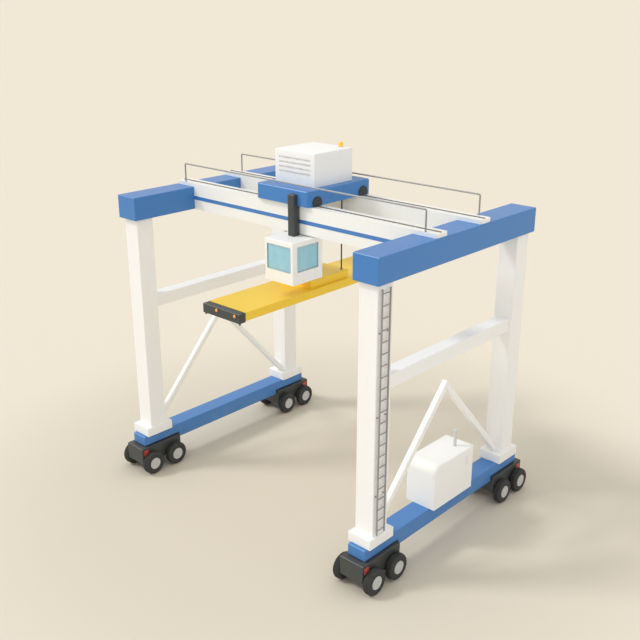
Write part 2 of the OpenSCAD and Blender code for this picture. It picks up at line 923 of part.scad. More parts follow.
trolley_wheels(-1);  // left_trolley_wheels
trolley_wheels(1);  // right_trolley_wheels
headblock();
spreader_body();
spreader_end(-1);  // front_spreader_end
spreader_end(1);  // rear_spreader_end
signal_lamps();
twistlocks();
bogie(1, -1);  // front_right_bogie
bogie(1, 1);  // rear_right_bogie
bogie(-1, -1);  // front_left_bogie
bogie(-1, 1);  // rear_left_bogie
wheels(1, -1, 1);  // front_right_outer_wheels
wheels(1, -1, -1);  // front_right_inner_wheels
wheels(1, 1, 1);  // rear_right_outer_wheels
wheels(1, 1, -1);  // rear_right_inner_wheels
wheels(-1, -1, 1);  // front_left_outer_wheels
wheels(-1, -1, -1);  // front_left_inner_wheels
wheels(-1, 1, 1);  // rear_left_outer_wheels
wheels(-1, 1, -1);  // rear_left_inner_wheels
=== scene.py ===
import math
import bpy
import bmesh
from mathutils import Matrix, Vector


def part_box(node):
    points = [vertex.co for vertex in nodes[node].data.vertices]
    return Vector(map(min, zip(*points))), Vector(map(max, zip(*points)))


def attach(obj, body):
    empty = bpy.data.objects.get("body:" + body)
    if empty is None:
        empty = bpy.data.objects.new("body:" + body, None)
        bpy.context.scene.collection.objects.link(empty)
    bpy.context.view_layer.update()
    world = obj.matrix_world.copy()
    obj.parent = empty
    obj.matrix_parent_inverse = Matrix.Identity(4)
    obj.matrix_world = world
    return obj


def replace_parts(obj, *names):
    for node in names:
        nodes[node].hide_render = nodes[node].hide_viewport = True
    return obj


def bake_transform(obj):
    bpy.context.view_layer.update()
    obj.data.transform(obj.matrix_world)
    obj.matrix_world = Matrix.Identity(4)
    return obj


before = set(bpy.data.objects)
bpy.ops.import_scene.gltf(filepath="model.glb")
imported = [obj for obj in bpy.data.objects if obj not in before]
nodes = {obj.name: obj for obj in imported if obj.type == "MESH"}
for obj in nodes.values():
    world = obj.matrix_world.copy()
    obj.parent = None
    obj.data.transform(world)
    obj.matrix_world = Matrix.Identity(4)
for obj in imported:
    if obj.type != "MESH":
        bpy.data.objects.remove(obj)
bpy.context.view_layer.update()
print("frame loaded:", len(nodes), "nodes")

# camera at the photograph's angle
camera = {"place": (28.387, -30.788, 24.079), "down": 20.0886, "turn": 42.7127, "lens": 50.515}
eye = bpy.data.cameras.new("camera")
eye.lens = camera["lens"]
eye.sensor_width = 36
eye.clip_end = 6000
eyeObject = bpy.data.objects.new("camera", eye)
eyeObject.location = camera["place"]
eyeObject.rotation_euler = (math.radians(90 - camera["down"]), 0, math.radians(camera["turn"]))
bpy.context.scene.collection.objects.link(eyeObject)
bpy.context.scene.camera = eyeObject
bpy.context.scene.view_settings.view_transform = "Standard"


def tone(red, green, blue):
    # a colour as it is read off a screen, 0 to 255, to Blender's linear values
    parts = [v / 255 for v in (red, green, blue)]
    return tuple(v / 12.92 if v < 0.04045 else ((v + 0.055) / 1.055) ** 2.4 for v in parts) + (1.0,)


def shade(colour, factor):
    return tuple(min(v * factor, 1.0) for v in colour[:3]) + (1.0,)


class Field:
    # wraps a socket, so that maths on the surface reads as an expression
    def __init__(self, finish, socket):
        self.finish = finish
        self.socket = socket

    def __add__(self, other): return self.finish.maths("ADD", self, other)
    def __radd__(self, other): return self.finish.maths("ADD", other, self)
    def __sub__(self, other): return self.finish.maths("SUBTRACT", self, other)
    def __rsub__(self, other): return self.finish.maths("SUBTRACT", other, self)
    def __mul__(self, other): return self.finish.maths("MULTIPLY", self, other)
    def __gt__(self, other): return self.finish.maths("GREATER_THAN", self, other)
    def __lt__(self, other): return self.finish.maths("LESS_THAN", self, other)
    def __abs__(self): return self.finish.maths("ABSOLUTE", self)


class Wiring:
    # the nodes of one material or of the world
    def __init__(self, owner):
        owner.use_nodes = True
        self.tree = owner.node_tree
        self.tree.nodes.clear()

    def node(self, kind, settings=None, inputs=None, output=0):
        made = self.tree.nodes.new("ShaderNode" + kind)
        for key, value in (settings or {}).items():
            setattr(made, key, value)
        for key, value in (inputs or {}).items():
            if isinstance(value, Field):
                self.tree.links.new(value.socket, made.inputs[key])
            else:
                made.inputs[key].default_value = value
        if isinstance(output, tuple):
            return [Field(self, made.outputs[i]) for i in output]
        return Field(self, made.outputs[output])

    def maths(self, operation, *values):
        return self.node("Math", {"operation": operation}, dict(enumerate(values)))

    def blend(self, first, second, factor):
        return self.node("Mix", {"data_type": "RGBA"}, {0: factor, 6: first, 7: second}, output=2)

    def ramp(self, value, low, high):
        # 0 below low, 1 above high
        return self.node("MapRange", {"interpolation_type": "SMOOTHSTEP"}, {0: value, 1: low, 2: high})


class Finish(Wiring):
    # one material, with the place on the object at hand
    def __init__(self, name):
        self.material = bpy.data.materials.new(name)
        super().__init__(self.material)
        self.place = self.node("TexCoord", output=3)
        self.x, self.y, self.z = self.node("SeparateXYZ", inputs={0: self.place}, output=(0, 1, 2))

    def grain(self, scale, detail, stretch=(1, 1, 1), rough=0.5):
        place = self.node("Mapping", inputs={0: self.place, 3: stretch})
        values = {"Vector": place, "Scale": scale, "Detail": detail, "Roughness": rough}
        return self.node("TexNoise", inputs=values)

    def edges(self, radius, low, high):
        # 1 along the solid's edges
        rounded = self.node("Bevel", {"samples": 4}, {"Radius": radius})
        plain = self.node("NewGeometry", output=1)
        turned = self.node("VectorMath", {"operation": "DOT_PRODUCT"}, {0: rounded, 1: plain}, output=1)
        return self.ramp(1 - turned, low, high)

    def upward(self):
        normal = self.node("NewGeometry", output=1)
        return self.ramp(self.node("SeparateXYZ", inputs={0: normal}, output=2), 0.5, 0.9)

    def done(self, colour, rough, height, distance=0.004, **constants):
        bump = self.node("Bump", inputs={"Strength": 1.0, "Distance": distance, "Height": height})
        sockets = {"Base Color": colour, "Roughness": rough, "Normal": bump}
        sockets.update({key.replace("_", " "): value for key, value in constants.items()})
        surface = self.node("BsdfPrincipled", inputs=sockets)
        self.node("OutputMaterial", inputs={0: surface}, output=())
        return self.material


def paintedSteel(name, colour, look):
    # sprayed plate: broad tone changes, rain marks, dust low down and on top, and a tone along the edges: rubbed
    # paint on most paints, a lighter painted highlight on the blue and dark paints
    f = Finish(name)
    broad = f.grain(0.35, 2)
    mottle = f.grain(5.0, 5, rough=0.6)
    streaks = f.grain(1.0, 5, (6, 6, 0.3), 0.6)
    spray = f.grain(140, 2)
    # the edge band: rubbed edges that also get rougher and lower; its tone is set below
    edgeBand = f.edges(look["edge"], 0.02, 0.16) * f.ramp(mottle, 0.38, 0.62)
    low = f.ramp(f.z, look["dustTop"], 0.3) * f.ramp(mottle + streaks * 0.4, 0.45, 0.95)
    lying = f.upward() * f.ramp(broad + mottle * 0.5, 0.5, 1.1)
    paint = f.blend(shade(colour, 1 - look["change"]), shade(colour, 1 + look["change"]), broad)
    wet = f.ramp(streaks, 0.52, 0.74) * look["streak"]
    paint = f.blend(paint, shade(colour, 1 - 2.2 * look["change"]), wet)
    paint = f.blend(paint, tone(*look["dust"]), low * look["low"] + lying * look["lying"])
    # edge tone: bare steel on most paints, a painted highlight where the paint sets a lighter one, on the blue
    # and dark paints
    paint = f.blend(paint, tone(*look["bare"]), edgeBand * look["wear"])
    rough = look["rough"] + (mottle - 0.5) * 0.12 + low * 0.2 + edgeBand * 0.15
    height = spray * 0.12 + mottle * 0.5 - edgeBand * 0.4
    return f.done(paint, rough, height, 0.0025, Coat_Weight=look["coat"], Coat_Roughness=0.25,
                  Specular_IOR_Level=0.45)


# the edge tone here is bare steel; the blue and dark paints set a lighter one as a painted highlight
paintLook = {
    "change": 0.02, "streak": 0.4, "dust": (190, 186, 178), "low": 0.16, "lying": 0.04, "dustTop": 3.2,
    "bare": (120, 116, 110), "wear": 0.35, "edge": 0.03, "rough": 0.42, "coat": 0.25,
}
colours = {
    "blue": (62, 129, 200), "cream": (254, 255, 252), "yellow": (255, 212, 48), "dark": (56, 61, 62),
    "grey": (150, 152, 152), "pipe": (212, 214, 212), "disc": (206, 208, 206), "red": (200, 60, 50),
}


def paintOf(name, colour, **changes):
    return paintedSteel(name, tone(*colours[colour]), {**paintLook, **changes})


# the blue's edge tone is a paler blue: a painted highlight along the edges
bluePaint = paintOf("bluePaint", "blue", change=0.03, lying=0.0, coat=0.18, bare=(150, 186, 222),
                    wear=0.55, edge=0.045)
creamPaint = paintOf("creamPaint", "cream", bare=(150, 147, 140), wear=0.22, coat=0.03, rough=0.55)
yellowPaint = paintOf("yellowPaint", "yellow", streak=0.2, lying=0.0, low=0.0, bare=(150, 120, 70))
# the dark paint's lighter edge tone is partly rubbed paint and partly a painted highlight along the edges
darkPaint = paintOf("darkPaint", "dark", change=0.05, low=0.04, lying=0.02, bare=(128, 126, 116),
                    wear=0.45, rough=0.5, edge=0.04)
greyPaint = paintOf("greyPaint", "grey", change=0.05, edge=0.008)
pipePaint = paintOf("pipePaint", "pipe", change=0.04, edge=0.01)
redPaint = paintOf("redPaint", "red", change=0.05, edge=0.006)
discPaint = paintOf("discPaint", "disc", change=0.03, edge=0.008, low=0.12)
print("paints made")


stripe = {"face": 1.9855, "low": 14.1, "high": 14.35}


def girderPaint():
    # the cream girder, whose raised band on the outer side is blue
    f = Finish("girderPaint")
    broad, mottle = f.grain(0.35, 2), f.grain(5.0, 5, rough=0.6)
    streaks = f.grain(1.0, 5, (6, 6, 0.3), 0.6)
    cream, blue = tone(*colours["cream"]), tone(*colours["blue"])
    band = (abs(f.y) > stripe["face"]) * (f.z > stripe["low"]) * (f.z < stripe["high"])
    edgeBand = f.edges(0.02, 0.02, 0.16) * f.ramp(mottle, 0.38, 0.62)
    paint = f.blend(shade(cream, 0.975), cream, broad)
    paint = f.blend(paint, shade(cream, 0.94), f.ramp(streaks, 0.52, 0.74) * 0.5)
    blue = f.blend(shade(blue, 0.96), shade(blue, 1.04), mottle)
    paint = f.blend(paint, blue, band)
    paint = f.blend(paint, tone(150, 147, 140), edgeBand * 0.2)
    rough = 0.42 + (mottle - 0.5) * 0.12
    height = f.grain(140, 2) * 0.12 + mottle * 0.5
    return f.done(paint, rough, height, 0.0025, Coat_Weight=0.25, Coat_Roughness=0.25)


track = {"middle": 1.597, "top": 14.99}


def runningSteel():
    # rail and wheel steel: polished where a wheel runs, brown and rough beside it
    f = Finish("runningSteel")
    mottle, fine = f.grain(9, 5, rough=0.65), f.grain(60, 4, (1, 6, 6))
    run = (1 - f.ramp(abs(abs(f.y) - track["middle"]), 0.018, 0.03)) * (f.z > track["top"])
    side = f.blend(tone(118, 115, 110), tone(136, 129, 121), mottle)
    steel = f.blend(side, tone(176, 178, 180), run * f.ramp(fine, 0.2, 0.6))
    rough = 0.62 - run * 0.36 + (mottle - 0.5) * 0.2
    return f.done(steel, rough, mottle * 0.6 + fine * 0.2, 0.002, Metallic=0.7)


def machinedSteel(name, light, darkTone):
    # turned steel with grease in its grooves
    f = Finish(name)
    mottle, rings = f.grain(14, 5, rough=0.6), f.grain(40, 3, (0.4, 5, 0.4))
    steel = f.blend(tone(*darkTone), tone(*light), f.ramp(mottle * 0.6 + rings * 0.4, 0.35, 0.65))
    return f.done(steel, 0.38 + (mottle - 0.5) * 0.3, rings * 0.4 + mottle * 0.3, 0.0015, Metallic=0.75)


def wireRope():
    # greased strands, paler where they rub
    f = Finish("wireRope")
    wave = {"Vector": f.place, "Scale": 34.0, "Distortion": 1.5, "Detail": 2.0, "Detail Scale": 1.5}
    lay = f.node("TexWave", {"wave_type": "BANDS", "bands_direction": "DIAGONAL"}, wave, output=1)
    mottle = f.grain(30, 5, rough=0.6)
    strand = f.blend(tone(44, 44, 46), tone(84, 84, 84), f.ramp(lay * 0.5 + mottle * 0.5, 0.35, 0.7))
    return f.done(strand, 0.5 + (mottle - 0.5) * 0.25, lay * 0.7 + mottle * 0.3, 0.004, Metallic=0.35)


wheelPlace = {"bogie": 5.025, "axle": 0.75, "high": 0.605}


def tyreRubber():
    # every axle uses this one: y is folded to the nearest wheel's own centre
    f = Finish("tyreRubber")
    along = abs(abs(f.y) - wheelPlace["bogie"]) - wheelPlace["axle"]
    up = f.z - wheelPlace["high"]
    radius = f.maths("SQRT", along * along + up * up)
    angle = f.maths("ARCTAN2", up, along)
    mottle, fine = f.grain(7, 5, rough=0.6), f.grain(90, 3)
    tread = f.ramp(radius, 0.572, 0.588)
    steelPart = 1 - f.ramp(radius, 0.286, 0.290)
    wall = f.ramp(radius, 0.33, 0.36) * (1 - f.ramp(radius, 0.5, 0.53))
    beads = f.maths("SINE", radius * 190) * wall
    blocks = f.ramp(f.maths("SINE", angle * 84), 0.55, 0.8) * f.ramp(radius, 0.545, 0.56)
    rubber = f.blend(tone(56, 59, 60), tone(66, 68, 68), mottle)
    dusty = (tread * 0.1 + f.ramp(radius, 0.45, 0.6) * 0.04) * f.ramp(mottle, 0.35, 0.7)
    rubber = f.blend(rubber, tone(112, 106, 96), dusty)
    colour = f.blend(rubber, f.blend(tone(70, 72, 74), tone(92, 92, 90), mottle), steelPart)
    rough = 0.74 - steelPart * 0.2 + (mottle - 0.5) * 0.16 + tread * 0.1
    height = beads * 0.3 - blocks * 0.9 + fine * 0.12 + mottle * 0.25
    return f.done(colour, rough, height, 0.006, Specular_IOR_Level=0.35)


def coverRubber():
    # the wheel covers: moulded, a little scuffed along the edges
    f = Finish("coverRubber")
    mottle, fine = f.grain(8, 5, rough=0.6), f.grain(120, 3)
    scuffed = f.edges(0.02, 0.03, 0.2) * f.ramp(mottle, 0.4, 0.65) * 0.3
    rubber = f.blend(tone(52, 56, 56), tone(68, 72, 72), mottle)
    rubber = f.blend(rubber, tone(120, 118, 112), scuffed)
    rough = 0.62 + (mottle - 0.5) * 0.2
    return f.done(rubber, rough, fine * 0.2 + mottle * 0.4, 0.003, Specular_IOR_Level=0.4)


def seamRubber(name, low, high):
    # thin seals and rims
    f = Finish(name)
    mottle, fine = f.grain(12, 4), f.grain(160, 3)
    rubber = f.blend(tone(*low), tone(*high), mottle)
    return f.done(rubber, 0.6 + (mottle - 0.5) * 0.2, fine * 0.3 + mottle * 0.3, 0.002)


def lampLens(name, colour, glow):
    # moulded lens with fine ribs
    f = Finish(name)
    mottle = f.grain(10, 3)
    ribs = f.maths("SINE", f.z * 520)
    ribbed = f.ramp(ribs * 0.2 + mottle, 0.3, 0.8)
    lens = f.blend(shade(tone(*colour), 0.9), shade(tone(*colour), 1.1), ribbed)
    return f.done(lens, 0.16 + mottle * 0.1, ribs * 0.3, 0.001, Coat_Weight=0.6, Coat_Roughness=0.08,
                  Emission_Color=tone(*colour), Emission_Strength=glow)


def windowGlass():
    # pale blue safety glass, a little dusty along the bottom
    f = Finish("windowGlass")
    smear = f.grain(2.2, 4, (1, 1, 0.5), 0.6)
    fine = f.grain(30, 3)
    dusty = f.ramp(f.z, 12.45, 12.15) * f.ramp(smear, 0.35, 0.7)
    glass = f.blend(tone(156, 216, 238), tone(166, 223, 243), f.ramp(smear, 0.3, 0.7))
    glass = f.blend(glass, tone(205, 208, 200), dusty * 0.35)
    return f.done(glass, 0.07 + dusty * 0.3 + fine * 0.04, smear * 0.06, 0.001, Alpha=0.9 + dusty * 0.06,
                  Coat_Weight=0.8, Coat_Roughness=0.04, Specular_IOR_Level=0.6)


girderCoat, railSteel, ropeSteel, tyres = girderPaint(), runningSteel(), wireRope(), tyreRubber()
covers, glass = coverRubber(), windowGlass()
seams = seamRubber("seamRubber", (50, 52, 54), (74, 76, 78))
paneSeals = seamRubber("paneSeals", (176, 192, 196), (196, 208, 210))
drumSteel = machinedSteel("drumSteel", (150, 150, 148), (92, 90, 86))
lockSteel = machinedSteel("lockSteel", (120, 120, 120), (72, 70, 68))
beaconLens = lampLens("beaconLens", (255, 200, 70), 0.16)
signalLens = lampLens("signalLens", (255, 160, 72), 0.18)
print("metals, rubber, glass and lenses made")

dressing = {
    "blue": (bluePaint, ["sill_beam", "end_beam", "trolley_frame"]),
    "cream": (creamPaint, ["_leg", "middle_brace", "diagonal", "power_unit", "machinery_house", "cab_shell"]),
    "girder": (girderCoat, ["girder"]),
    "pipe": (pipePaint, ["exhaust_pipe"]),
    "grey": (greyPaint, ["handrail", "ladder"]),
    "dark": (darkPaint, ["cab_post", "bogie", "spreader_end"]),
    "yellow": (yellowPaint, ["headblock", "spreader_body"]),
    "rail": (railSteel, ["_rail", "trolley_wheels"]),
    "drum": (drumSteel, ["hoist_drum", "rope_sheaves"]),
    "lock": (lockSteel, ["twistlocks"]),
    "rope": (ropeSteel, ["rope_leads", "hoist_ropes"]),
    "tyre": (tyres, ["outer_wheels", "inner_wheels"]),
    "cover": (covers, ["wheel_end_covers"]),
    "glass": (glass, ["cab_windows"]),
    "beacon": (beaconLens, ["warning_lamp"]),
    "signal": (signalLens, ["signal_lamps"]),
}
for material, words in dressing.values():
    for name, solid in nodes.items():
        if any(word in name for word in words):
            solid.data.materials.clear()
            solid.data.materials.append(material)
print("solids dressed")


def newPiece(name, bm, body, material, sharp=35):
    # smooth faces with sharp edges above an angle, the place stays in the mesh
    bmesh.ops.remove_doubles(bm, verts=bm.verts, dist=0.00005)
    bmesh.ops.recalc_face_normals(bm, faces=bm.faces)
    for face in bm.faces:
        face.smooth = True
    for edge in bm.edges:
        edge.smooth = len(edge.link_faces) != 2 or edge.calc_face_angle(0.0) < math.radians(sharp)
    mesh = bpy.data.meshes.new(name)
    bm.to_mesh(mesh)
    bm.free()
    mesh.materials.append(material)
    piece = bpy.data.objects.new(name, mesh)
    bpy.context.scene.collection.objects.link(piece)
    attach(piece, body)
    return piece


near = 0.01  # how far a vertex may be off a plane and still count as in it


def bevel(part, geom, offset, segments=2, affect="EDGES"):
    bmesh.ops.bevel(part, geom=geom, offset=offset, segments=segments, profile=0.5, affect=affect, material=-1)


def shift(part, way, verts=None):
    bmesh.ops.translate(part, vec=way, verts=part.verts if verts is None else verts)


def kept(items, kind):
    # the vertices, edges or faces among what an operator returns
    return [item for item in items if isinstance(item, kind)]


def everything(part):
    return part.verts[:] + part.edges[:] + part.faces[:]


def block(size, broken=0.0):
    part = bmesh.new()
    bmesh.ops.create_cube(part, size=1.0)
    bmesh.ops.scale(part, vec=size, verts=part.verts)
    if broken:
        bevel(part, part.edges[:], broken)
    return part


def boxed(low, high):
    # a plain block between two corners
    part = block(high - low)
    shift(part, (low + high) / 2)
    return part


def roundPlate(thick, long, high, corner, broken=0.003):
    # a plate across x with round corners and broken edges
    part = block((thick, long, high))
    across = [edge for edge in part.edges if abs(edge.verts[0].co.x - edge.verts[1].co.x) > thick / 2]
    bevel(part, across, corner, 6)
    rims = [edge for edge in part.edges if edge.calc_face_angle(0) > 1]
    bevel(part, rims, broken)
    return part


def turned(profile, steps=32):
    # a line of (radius, height) points spun about z
    part = bmesh.new()
    points = [part.verts.new((r, 0, h)) for r, h in profile]
    lines = [part.edges.new(pair) for pair in zip(points, points[1:])]
    bmesh.ops.spin(part, geom=points + lines, cent=(0, 0, 0), axis=(0, 0, 1),
                   angle=2 * math.pi, steps=steps, use_merge=True)
    return part


def bolt(radius, height, sides=6):
    # a bolt head, foot at z = 0, with its upper edges broken
    part = bmesh.new()
    bmesh.ops.create_cone(part, cap_ends=True, segments=sides, radius1=radius, radius2=radius, depth=height)
    upper = [edge for edge in part.edges if all(vert.co.z > 0 for vert in edge.verts)]
    bevel(part, upper, height * 0.25)
    shift(part, (0, 0, height / 2))
    return part


def ringPlate(width, height, band, thick, corner=0.04, broken=0.003):
    # a flat frame in the xy plane with round corners, raised to its thickness; its edges are broken
    part = bmesh.new()
    bmesh.ops.create_grid(part, x_segments=1, y_segments=1, size=0.5)
    bmesh.ops.scale(part, vec=(width, height, 1), verts=part.verts)
    bevel(part, part.verts[:], corner, 5, "VERTICES")
    inner = bmesh.ops.inset_individual(part, faces=part.faces[:], thickness=band, use_even_offset=True)
    middle = [face for face in part.faces if face not in inner["faces"]]
    bmesh.ops.delete(part, geom=middle, context="FACES")
    raised = bmesh.ops.extrude_face_region(part, geom=part.faces[:])["geom"]
    shift(part, (0, 0, thick), kept(raised, bmesh.types.BMVert))
    rims = [edge for edge in part.edges if all(vert.co.z > thick / 2 for vert in edge.verts)
            and edge.is_manifold and edge.calc_face_angle(0) > 1]
    bevel(part, rims, broken)
    return part


def pipe(path, radius, sides=20):
    # a round tube along points that lie in a plane across y
    part = bmesh.new()
    side, rings = Vector((0, 1, 0)), []
    for k, here in enumerate(path):
        along = (path[min(k + 1, len(path) - 1)] - path[max(k - 1, 0)]).normalized()
        up = along.cross(side)
        turns = [2 * math.pi * step / sides for step in range(sides)]
        rings.append([part.verts.new(here + radius * (math.cos(a) * side + math.sin(a) * up)) for a in turns])
    for one, two in zip(rings, rings[1:]):
        for k in range(sides):
            part.faces.new((one[k], one[(k + 1) % sides], two[(k + 1) % sides], two[k]))
    part.faces.new(rings[0])
    part.faces.new(rings[-1])
    return part


def recess(part, cuts, inside, depth):
    # cuts the walls along planes of (place, direction) and sinks the faces that inside() picks
    for spot, across in cuts:
        bmesh.ops.bisect_plane(part, geom=everything(part), plane_co=spot, plane_no=across)
    part.normal_update()
    chosen = [face for face in part.faces if inside(face.calc_center_median(), face.normal)]
    for face in bmesh.ops.extrude_discrete_faces(part, faces=chosen)["faces"]:
        face.normal_update()
        shift(part, -depth * face.normal, face.verts)


def rod(radius, length, edge=0.003):
    # the profile of a round bar along z, its foot at z = 0, with broken ends
    return [(0, 0), (radius - edge, 0), (radius, edge), (radius, length - edge),
            (radius - edge, length), (0, length)]


def quarter(steps):
    # the angles of a quarter turn
    return [math.pi / 2 * k / steps for k in range(steps + 1)]


def pieceName(node, ending):
    # a node's name in the form of the pieces' names
    words = node.split("_")
    return words[0] + "".join(word.capitalize() for word in words[1:]) + ending


def put(bm, part, place, keep=False):
    # moves a part into place and adds it to a piece
    copy = part.copy() if keep else part
    bmesh.ops.transform(copy, matrix=place, verts=copy.verts)
    holder = bpy.data.meshes.new("holder")
    copy.to_mesh(holder)
    copy.free()
    bm.from_mesh(holder)
    bpy.data.meshes.remove(holder)


def at(x, y, z):
    return Matrix.Translation((x, y, z))


def turn(degrees, axis):
    return Matrix.Rotation(math.radians(degrees), 4, axis)


# tyres with broad round shoulders and three grooves round the tread
tyre = {"radius": 0.6047, "half": 0.1825, "corner": 0.12, "bead": 0.283, "outerDisc": 0.1525,
        "innerDisc": 0.1225, "discEdge": 0.004, "groove": 0.022, "grooveHalf": 0.013,
        "grooves": (-0.078, 0, 0.078), "hair": 0.00001, "arc": 8, "axle": 0.07, "centre": 0.8475}
tyredWheels = [name for name in nodes if name.endswith("_wheels") and "trolley" not in name]


def tyreProfile():
    # (radius, height) from the inner disc over the tread to the outer disc
    flat, high = tyre["half"] - tyre["corner"], tyre["radius"] - tyre["corner"]
    low = tyre["bead"] + tyre["corner"]

    def bulge(height):
        return math.sqrt(tyre["corner"] ** 2 - max(abs(height) - flat, 0) ** 2)

    def shoulder(height):
        return (low - bulge(height), height)

    levels = [flat + tyre["corner"] * math.sin(angle) for angle in quarter(tyre["arc"])]
    inner = [shoulder(-v) for v in levels if v > tyre["innerDisc"] + tyre["discEdge"]]
    outer = [shoulder(v) for v in reversed(levels) if v > tyre["outerDisc"] + tyre["discEdge"]]
    inner, outer = [shoulder(-tyre["innerDisc"])] + inner, outer + [shoulder(tyre["outerDisc"])]
    tread = [(high + bulge(v), v) for v in [-v for v in reversed(levels)] + levels
             if all(abs(v - g) > tyre["grooveHalf"] for g in tyre["grooves"])]
    for middle in tyre["grooves"]:
        for side in (-1, 1):
            # the groove's floor starts a hair further in than its edge, so that sorting keeps them in line
            v = middle + side * tyre["grooveHalf"]
            tread += [(high + bulge(v), v), (tyre["radius"] - tyre["groove"], v - tyre["hair"] * side)]
    tread.sort(key=lambda point: point[1])
    return [(0, -tyre["innerDisc"])] + inner + tread + outer + [(0, tyre["outerDisc"])]


for name in tyredWheels:
    low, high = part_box(name)
    middle = (low + high) / 2
    bm = bmesh.new()
    left = at(middle.x - tyre["centre"], middle.y, middle.z)
    put(bm, turned(rod(tyre["axle"], 2 * tyre["centre"]), 24), left @ turn(90, "Y"))
    for side in (-1, 1):
        place = at(middle.x + side * tyre["centre"], middle.y, middle.z)
        put(bm, turned(tyreProfile(), 72), place @ turn(90 * side, "Y"))
    piece = newPiece(pieceName(name, "Tyres"), bm, name.replace("_wheels", "_axle"), tyres)
    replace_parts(piece, name)
print("tyres made")

# hub discs: a pressed disc with a boss, a rim and a ring of nuts on the outer side of each tyre
hub = {"nuts": 10, "firstNut": 18, "nutRing": 0.165, "nutRadius": 0.018, "nutHeight": 0.012,
       "nutFoot": -0.0225, "halfTrack": 1.03}
hubProfile = [(0, -0.003), (0.088, -0.003), (0.097, -0.007), (0.105, -0.02), (0.115, -0.022),
              (0.254, -0.022), (0.267, -0.018), (0.276, -0.006), (0.284, -0.004), (0.299, -0.004),
              (0.306, -0.009), (0.306, -0.032), (0, -0.032)]
hubCap = [(0, -0.004), (0.012, -0.004), (0.016, -0.0005), (0.034, -0.0005), (0.038, -0.003)]
for name in tyredWheels:
    low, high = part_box(name)
    middle = (low + high) / 2
    bm = bmesh.new()
    for side in (-1, 1):
        face = at(middle.x + side * hub["halfTrack"], middle.y, middle.z) @ turn(90 * side, "Y")
        put(bm, turned(hubProfile, 48), face)
        nut = bolt(hub["nutRadius"], hub["nutHeight"])
        for k in range(hub["nuts"]):
            spot = turn(360 / hub["nuts"] * k + hub["firstNut"], "Z") @ at(hub["nutRing"], 0, hub["nutFoot"])
            put(bm, nut, face @ spot, keep=True)
        nut.free()
        put(bm, turned(hubCap, 20), face)
    newPiece(name.replace("_wheels", "HubDiscs"), bm, name.replace("_wheels", "_axle"), discPaint)
print("hub discs made")

# red marker plates on both sides of every bogie, at its outer end
marker = {"long": 0.31, "high": 0.32, "thick": 0.012, "fromEnd": 0.10, "foot": 1.02, "corner": 0.07,
          "sunk": 0.001, "screwIn": 0.05, "screwRadius": 0.011, "screwHigh": 0.004}
for name in [n for n in nodes if n.endswith("_bogie")]:
    low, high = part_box(name)
    outward = 1 if low.y + high.y > 0 else -1
    endY = high.y if outward > 0 else low.y
    bm = bmesh.new()
    for side, x in ((-1, low.x), (1, high.x)):
        middle = at(x + side * (marker["thick"] / 2 - marker["sunk"]),
                    endY - outward * (marker["fromEnd"] + marker["long"] / 2),
                    marker["foot"] + marker["high"] / 2)
        put(bm, roundPlate(marker["thick"], marker["long"], marker["high"], marker["corner"]), middle)
        for dy in (-1, 1):
            for dz in (-1, 1):
                screw = middle @ at(side * marker["thick"] / 2, dy * (marker["long"] / 2 - marker["screwIn"]),
                                    dz * (marker["high"] / 2 - marker["screwIn"])) @ turn(90 * side, "Y")
                put(bm, bolt(marker["screwRadius"], marker["screwHigh"], 12), screw)
    newPiece(name.replace("_bogie", "BogieMarkers"), bm, name + "_frame", redPaint)
print("bogie markers made")

# cab: rubber seams round the panes
seam = {"band": 0.034, "thick": 0.01, "overlap": 0.006, "sunk": 0.002, "frontFrame": 0.3, "sideFrame": 0.582}
low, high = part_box("cab_shell")
paneLow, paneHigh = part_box("cab_windows")
middle, paneMiddle = (low + high) / 2, (paneLow + paneHigh) / 2
wide = (high.x - low.x - seam["frontFrame"], high.y - low.y - seam["sideFrame"])
tall = paneHigh.z - paneLow.z
bm = bmesh.new()
for k, out in enumerate(((0, -1), (1, 0), (0, 1), (-1, 0))):
    span = wide[0] if out[0] == 0 else wide[1]
    reach = ((high.y - low.y) / 2 if out[0] == 0 else (high.x - low.x) / 2) - seam["sunk"]
    ring = ringPlate(span + 2 * seam["overlap"], tall + 2 * seam["overlap"], seam["band"], seam["thick"])
    face = at(middle.x + out[0] * reach, middle.y + out[1] * reach, paneMiddle.z)
    put(bm, ring, face @ turn(90 * k, "Z") @ turn(90, "X"))
newPiece("windowSeams", bm, "trolley", paneSeals)
print("window seams made")

# machinery house: a folded housing with four slots in the front and rear walls
low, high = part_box("machinery_house")
house = {"corner": 0.035, "slotLong": 2.002, "slotHigh": 0.066, "slotDeep": 0.09, "first": 0.545,
         "pitch": 0.217, "count": 4}
bm = boxed(low, high)
upper = [edge for edge in bm.edges if any(vert.co.z > low.z + near for vert in edge.verts)]
bevel(bm, upper, house["corner"], 4)
levels = [low.z + house["first"] + k * house["pitch"] for k in range(house["count"])]
cuts = [((0, 0, level + side * house["slotHigh"] / 2), (0, 0, 1)) for level in levels for side in (-1, 1)]
houseX = (low.x + high.x) / 2
cuts += [((houseX + side * house["slotLong"] / 2, 0, 0), (1, 0, 0)) for side in (-1, 1)]
recess(bm, cuts, lambda spot, normal: abs(normal.y) > 0.99 and abs(spot.x - houseX) < house["slotLong"] / 2
       and any(abs(spot.z - level) < house["slotHigh"] / 2 for level in levels), house["slotDeep"])
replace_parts(newPiece("machineryHousing", bm, "trolley", creamPaint), "machinery_house")

